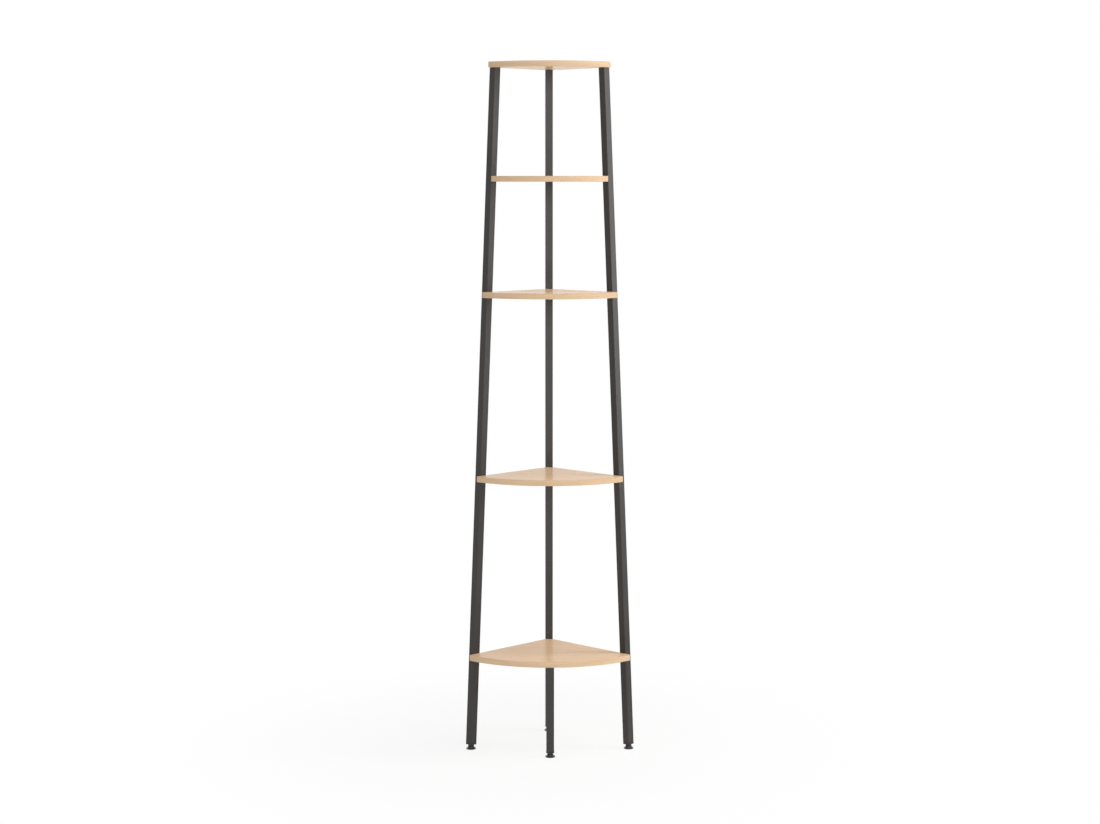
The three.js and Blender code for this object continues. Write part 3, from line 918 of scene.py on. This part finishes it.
BOLT_COLUMNS = 36
BOLT_HEAD_RADIUS = 5.25 * MM
BOLT_HEAD_RIM = 0.7 * MM
BOLT_HEAD_LAND = 2.8 * MM  # radius of the flat round the socket
SOCKET_DEPTH = 2 * MM
HEAD_EASE = 0.2 * MM
TIP_TAPER = 0.9 * MM  # by which a tip is narrower than its shank
TIP_LENGTH = 0.8 * MM
PLATE_SCREW_HEAD = 2.4 * MM  # height of the head
PLATE_SCREW_COLUMNS = 48
NUT_RADIUS = 5 * MM
NUT_BORE_RADIUS = 3.25 * MM


def socket_rows(width, floor, mouth):
    """Hexagon socket from the middle of its floor to a small chamfer at its mouth."""
    hexagon = hexagon_radius(width, BOLT_COLUMNS)
    ease = 0.15 * MM
    return [(0, floor), (hexagon, floor), (hexagon, mouth - ease), (hexagon + ease, mouth)]


def shank_rows(settings, length, thread_top):
    """Thread from below thread_top to a tapered tip at the length, from the top down."""
    shank = settings.shank / 2
    thread = thread_rows(shank, settings.pitch, -length + TIP_LENGTH, thread_top, BOLT_COLUMNS)
    return [*thread[::-1], (shank - TIP_TAPER, -length), (0, -length)]


def bolt_rows(settings, length):
    """Button head with a socket, shank and thread; the head's underside is at height zero.

    The dome is an arc through the rim and the land.
    """
    shank, head = settings.shank / 2, settings.head_height
    land = math.acos(BOLT_HEAD_LAND / BOLT_HEAD_RADIUS)
    rise = (head - BOLT_HEAD_RIM) / math.sin(land)
    return [
        *socket_rows(settings.key_width, head - SOCKET_DEPTH, head),
        *arc(BOLT_HEAD_RADIUS, rise, land, 0, 9, BOLT_HEAD_RIM),
        (BOLT_HEAD_RADIUS, HEAD_EASE),
        (BOLT_HEAD_RADIUS - HEAD_EASE, 0),
        (shank, 0),
        (shank, -HEAD_EASE),
        *shank_rows(settings, length, -length + settings.threaded),
    ]


def top_screw_rows(settings, length, head_radius):
    """Countersunk head with a socket, cone and thread; the head's top is at height zero."""
    shank, rim = settings.shank / 2, 0.5 * MM
    cone = -rim - (head_radius - shank)
    return [
        *socket_rows(settings.key_width, -SOCKET_DEPTH, 0),
        (head_radius - HEAD_EASE, 0),
        (head_radius, -HEAD_EASE),
        (head_radius, -rim),
        (shank, cone),
        *shank_rows(settings, length, cone - settings.pitch),
    ]


def plate_screw_rows(length, head_radius):
    """Pan head with a cross recess, thread and point; the head's underside is at height zero.

    The head's outer face points to negative heights, so the recess narrows upwards to a point.
    """
    shank, pitch, point, ease, rim = 2 * MM, 1.4 * MM, 2.5 * MM, 0.1 * MM, 0.7 * MM
    mouth = cross_radius(2.1 * MM, 0.45 * MM, PLATE_SCREW_COLUMNS)
    floor = cross_radius(0.9 * MM, 0.3 * MM, PLATE_SCREW_COLUMNS)
    face = -PLATE_SCREW_HEAD
    dome = math.radians(62)
    rise = (PLATE_SCREW_HEAD - rim) / math.sin(dome)
    return [
        (0, face + 1.7 * MM),
        (floor, face + 1.5 * MM),
        (mouth, face + ease),
        (mouth + ease, face),
        *arc(head_radius, -rise, dome, 0, 7, -rim),
        (head_radius, -ease),
        (head_radius - ease, 0),
        (shank, 0),
        *thread_rows(shank, pitch, ease, length - PLATE_SCREW_HEAD - point, PLATE_SCREW_COLUMNS),
        (0, length - PLATE_SCREW_HEAD),
    ]


def make_bolt(node, leg, settings):
    axes = bolt_axes(node, leg)
    low, high = axes.span(node)
    seat = axes.world(np.array([0, 0, high[2] - settings.head_height]))
    rows = bolt_rows(settings, high[2] - low[2] - settings.head_height)
    make_turned(node, "plated", Axes(seat, UP, level(WALL_TURNS[leg])), rows, BOLT_COLUMNS)


def make_nut(node, bolt, leg, settings):
    """Cylinder with eased ends, a cross bore for the bolt and a slot in its lower end."""
    end_ease, slot_ease = 0.35 * MM, 0.1 * MM
    low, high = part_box(node)
    height = high.z - low.z
    section = eased([(0, 0), (NUT_RADIUS, 0), (NUT_RADIUS, height), (0, height)], end_ease)
    wall_side = level(WALL_TURNS[leg])
    grid = turned(section, columns=40)
    nut = closed_piece(f"{node}_plated", upright(node, low.z, wall_side), grid, finish_of(node))
    across = rounded_plate(3 * NUT_RADIUS, settings.slot_width, slot_ease, 1)
    slot = Skin()
    slot.block(across.rings([(0, -NUT_RADIUS), (0, settings.slot_depth)]))
    cut(nut, slot.build("cutter", upright(node, low.z, np.cross(UP, wall_side))))
    hole = bolt_axes(bolt, leg)
    start, end = hole.span(bolt)
    cut(nut, rod(hole, NUT_BORE_RADIUS, start[2] - NUT_RADIUS, end[2]))
    stand_for(nut, node)


class SHELFUNIT_OT_fixings(bpy.types.Operator):
    """Make the shelf bolts, barrel nuts, top screws and plate screws"""

    bl_idname = "shelf_unit.fixings"
    bl_label = "Fixings"

    def execute(self, context):
        settings = context.scene.shelf_fixings
        for leg in LONG_LEGS:
            for shelf in SHELVES:
                bolt = f"{shelf}_shelf_{leg}_bolt"
                make_bolt(bolt, leg, settings)
                make_nut(f"{shelf}_shelf_{leg}_barrel_nut", bolt, leg, settings)
            node = f"top_shelf_{leg}_screw"
            low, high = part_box(node)
            rows = top_screw_rows(settings, high.z - low.z, (high.x - low.x) / 2)
            make_turned(node, "plated", upright(node, high.z), rows, BOLT_COLUMNS)
        for node in PLATE_SCREWS:
            low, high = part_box(node)
            rows = plate_screw_rows(high.z - low.z, (high.x - low.x) / 2)
            make_turned(node, "plated", upright(node, low.z + PLATE_SCREW_HEAD), rows, PLATE_SCREW_COLUMNS)
        return {"FINISHED"}


class SHELFUNIT_OT_inner_steel(bpy.types.Operator):
    """Give the sleeves and plugs inside the tubes their bare steel"""

    bl_idname = "shelf_unit.inner_steel"
    bl_label = "Sleeves and Plugs"

    def execute(self, context):
        for leg in LONG_LEGS:
            for node in (f"{leg}_leg_sleeve", f"{leg}_leg_top_plug"):
                for material_slot in frame["nodes"][node].material_slots:
                    material_slot.material = finish_of(node)
        return {"FINISHED"}


# Feet


def make_insert(node, axes, settings):
    """Flange under the tube and square body in it, round a bore: one loop of circles and squares."""
    low, high = axes.span(node)
    bottom, top = low[2], high[2]
    shoulder = bottom + settings.flange
    steps = 8
    bore = rounded_square(settings.bore, settings.bore / 2, steps, straight=False)
    flange = rounded_square(high[0] - low[0], 2.2 * MM, steps, straight=False)
    body = rounded_square(settings.body, 1 * MM, steps, straight=False)
    ease, rim = 0.5 * MM, 0.2 * MM
    taper, taper_height = 0.6 * MM, 1.5 * MM
    grid = stacked([
        (bore, 0, bottom + ease),
        (bore, -ease, bottom),
        (flange, ease, bottom),
        (flange, 0.15 * ease, bottom + 0.15 * ease),
        (flange, 0, bottom + ease),
        (flange, 0, shoulder - rim),
        (flange, rim, shoulder),
        (body, 0, shoulder),
        (body, 0, top - taper_height),
        (body, taper, top),
        (bore, -ease, top),
        (bore, 0, top - ease),
        (bore, 0, bottom + ease),
    ])
    stand_for(closed_piece(f"{node}_moulded", axes, grid, finish_of(node)), node)


def make_stud(node, axes, settings):
    """Ball, neck, chamfered hexagon and thread, turned about the leg.

    The hexagon's chamfers fall by a share of its radius beyond the flats, so they cut arcs on them.
    """
    low, high = axes.span(node)
    columns = 48
    ball, neck, stud = -low[2], settings.neck / 2, settings.stud / 2
    bottom = 3.4 * MM
    top = bottom + settings.hexagon_height
    tip_taper, tip_length = 1.2 * MM, 1 * MM
    hexagon = hexagon_radius(settings.hexagon, columns)
    face = settings.hexagon / 2 * 0.96
    fall = (hexagon - face) * math.tan(math.radians(30))
    rows = [
        *arc(ball, ball, -QUARTER, math.acos(neck / ball), 12),
        (neck, bottom),
        (face, bottom),
        (hexagon, bottom + fall),
        (hexagon, top - fall),
        (face, top),
        (stud, top),
        *thread_rows(stud, settings.pitch, top, high[2] - tip_length, columns),
        (stud - tip_taper, high[2]),
        (0, high[2]),
    ]
    make_turned(node, "threaded", axes, rows, columns)


def make_pad(node):
    """Flat disc with a boss, turned about the vertical, with a hollow below and a socket for the ball.

    The socket is an arc about a centre at pad height - sink.
    """
    low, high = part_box(node)
    radius, height = (high.x - low.x) / 2, high.z - low.z
    hollow, ease = 0.7 * MM, 0.7 * MM
    socket, sink = 4.2 * MM, 2.4 * MM
    outer = [
        (0, hollow),
        (0.68 * radius, hollow),
        (0.75 * radius, 0),
        (radius, 0),
        (radius, 3 * MM),
        (8.8 * MM, 3.9 * MM),
        (8.4 * MM, height),
        (math.sqrt(socket**2 - sink**2), height),
    ]
    inner = arc(socket, socket, math.asin(sink / socket), -QUARTER, 12, height - sink)
    rows = np.vstack([eased(outer, ease, 4), inner])
    make_turned(node, "moulded", upright(node, low.z), rows, columns=72)


class SHELFUNIT_OT_feet(bpy.types.Operator):
    """Make the four levelling feet: insert, threaded stud with hexagon and ball, and pad"""

    bl_idname = "shelf_unit.feet"
    bl_label = "Levelling Feet"

    def execute(self, context):
        settings = context.scene.shelf_feet
        for leg in LEG_TURNS:
            axes = leg_axes(leg)
            make_insert(f"{leg}_foot_insert", axes, settings)
            make_stud(f"{leg}_foot_stud", axes, settings)
            make_pad(f"{leg}_foot_pad")
        return {"FINISHED"}


# Studio

# Place, width and height of each light, under the name of its power in the settings
LIGHTS = {
    "side_light": ((3.0, -0.15, 1.9), (1.0, 2.6)),
    "front_light": ((0.5, -6.4, 2.4), (2.2, 2.6)),
    "top_light": ((1.2, -0.9, 4.4), (3.0, 3.0)),
    "back_light": ((-1.6, 4.2, 2.4), (3.0, 2.4)),
    "low_light": ((0.3, -3.2, 0.35), (2.0, 0.5)),
}
AIM = (0, 0, 1.2)  # point at which the lights aim
SENSOR_WIDTH_MM = 36
FLOOR_RADII = (40, 8, 2, 0.5, 0)
SHADOW_RADII = (0.25, 1.1)  # the floor's share of the picture falls to nothing between these
SHADOW_SHARE = 0.15  # share of the floor in the picture under the unit


def make_camera(scene, settings):
    data = bpy.data.cameras.new("camera")
    data.lens = settings.lens
    data.sensor_width = SENSOR_WIDTH_MM
    camera = add_object("camera", data)
    front = middle_of("back_leg_lower")[1] - settings.camera_distance
    camera.location = (settings.camera_side, front, settings.camera_height)
    camera.rotation_euler = (QUARTER - settings.camera_tilt, 0, -settings.camera_turn)
    scene.camera = camera


def make_light(name, place, size, power):
    """Rectangular light: turned about the vertical and tipped until it faces the point of aim."""
    data = bpy.data.lights.new(name, "AREA")
    data.shape = "RECTANGLE"
    data.size, data.size_y = size
    data.energy = power
    light = add_object(name, data)
    light.visible_camera = False
    x, y, z = np.array(AIM) - np.array(place)
    light.location = place
    light.rotation_euler = (math.atan2(math.hypot(x, y), -z), 0, -math.atan2(x, y))


def make_floor(settings):
    """Round floor: a flat ring grid that takes the shadow and lets the white surroundings show through.

    It clears further out, and from below, so that undersides and lowered feet show.
    """
    finish = Finish("pale_floor")
    x, y = finish.add("ShaderNodeSeparateXYZ", {0: finish.place()}, out=("X", "Y"))
    distance = (x * x + y * y) ** 0.5
    seen, mirrored = finish.add("ShaderNodeLightPath", out=("Is Camera Ray", "Is Glossy Ray"))
    paint = finish.add("ShaderNodeBsdfDiffuse", {"Color": solid(settings.floor_colour)})
    clear = finish.add("ShaderNodeBsdfTransparent")
    outwards = finish.band(distance, *SHADOW_RADII)
    share = (outwards * SHADOW_SHARE + (1 - SHADOW_SHARE)) * (seen + mirrored)
    above = finish.add("ShaderNodeMixShader", {0: share, 1: paint, 2: clear})
    underneath = finish.add("ShaderNodeNewGeometry", out="Backfacing")
    mixed = finish.add("ShaderNodeMixShader", {0: underneath, 1: above, 2: clear})
    finish.add("ShaderNodeOutputMaterial", {"Surface": mixed})
    rings = turned([(radius, 0) for radius in FLOOR_RADII], columns=96)
    mesh = bpy.data.meshes.new("floor")
    mesh.from_pydata(rings.reshape(-1, 3).tolist(), [], grid_faces(*rings.shape[:2]))
    mesh.validate()
    mesh.materials.append(finish.made)
    floor = add_object("floor", mesh)


def make_surroundings(scene, settings):
    """White to the camera and in reflections, and softer as ambient light."""
    studio = Finish("studio", "worlds")
    rays = ("Is Camera Ray", "Is Glossy Ray", "Is Transmission Ray")
    seen, mirrored, through = studio.add("ShaderNodeLightPath", out=rays)
    values = {"Value": seen + mirrored + through, "To Min": settings.ambient, "To Max": 1.0}
    strength = studio.add("ShaderNodeMapRange", values)
    white = studio.add("ShaderNodeBackground", {"Color": (1, 1, 1, 1), "Strength": strength})
    studio.add("ShaderNodeOutputWorld", {"Surface": white})
    scene.world = studio.made


class SHELFUNIT_OT_stage(bpy.types.Operator):
    """Make the camera, the soft lights, the pale floor and the white surroundings"""

    bl_idname = "shelf_unit.stage"
    bl_label = "Stage"

    def execute(self, context):
        settings = context.scene.shelf_stage
        context.scene.view_settings.view_transform = "Standard"
        make_camera(context.scene, settings)
        for name, (place, size) in LIGHTS.items():
            make_light(name, place, size, getattr(settings, name))
        make_floor(settings)
        make_surroundings(context.scene, settings)
        return {"FINISHED"}


class SHELFUNIT_PT_panel(bpy.types.Panel):
    """Panel in the sidebar with the sizes, colours and steps"""

    bl_idname = "SHELFUNIT_PT_panel"
    bl_label = "Corner Shelf Unit"
    bl_space_type = "VIEW_3D"
    bl_region_type = "UI"
    bl_category = "Shelf Unit"

    def draw(self, context):
        for title, name, group, steps in SECTIONS:
            box = self.layout.box()
            box.label(text=title)
            for step in steps:
                box.operator(step.bl_idname)
            for key in group.__annotations__:
                box.prop(getattr(context.scene, name), key)


# Title, settings and operators of each section, in the order in which main runs them
SECTIONS = (
    ("Stage", "shelf_stage", ShelfStageSettings, (SHELFUNIT_OT_stage,)),
    ("Boards", "shelf_boards", ShelfBoardSettings, (SHELFUNIT_OT_boards,)),
    ("Tubes", "shelf_tubes", ShelfTubeSettings, (SHELFUNIT_OT_legs,)),
    ("Fixings", "shelf_fixings", ShelfFixingSettings, (SHELFUNIT_OT_fixings, SHELFUNIT_OT_inner_steel)),
    ("Feet", "shelf_feet", ShelfFootSettings, (SHELFUNIT_OT_feet,)),
)


def register():
    for _title, name, group, steps in SECTIONS:
        for made in (group, *steps):
            bpy.utils.register_class(made)
        setattr(bpy.types.Scene, name, bpy.props.PointerProperty(type=group))
    bpy.utils.register_class(SHELFUNIT_PT_panel)


def unregister():
    bpy.utils.unregister_class(SHELFUNIT_PT_panel)
    for _title, name, group, steps in reversed(SECTIONS):
        delattr(bpy.types.Scene, name)
        for made in (*steps, group):
            bpy.utils.unregister_class(made)


def main():
    register()
    for _title, _name, _group, steps in SECTIONS:
        for step in steps:
            getattr(bpy.ops.shelf_unit, step.bl_idname.split(".")[1])()
    bpy.context.view_layer.update()


if __name__ == "__main__":
    main()
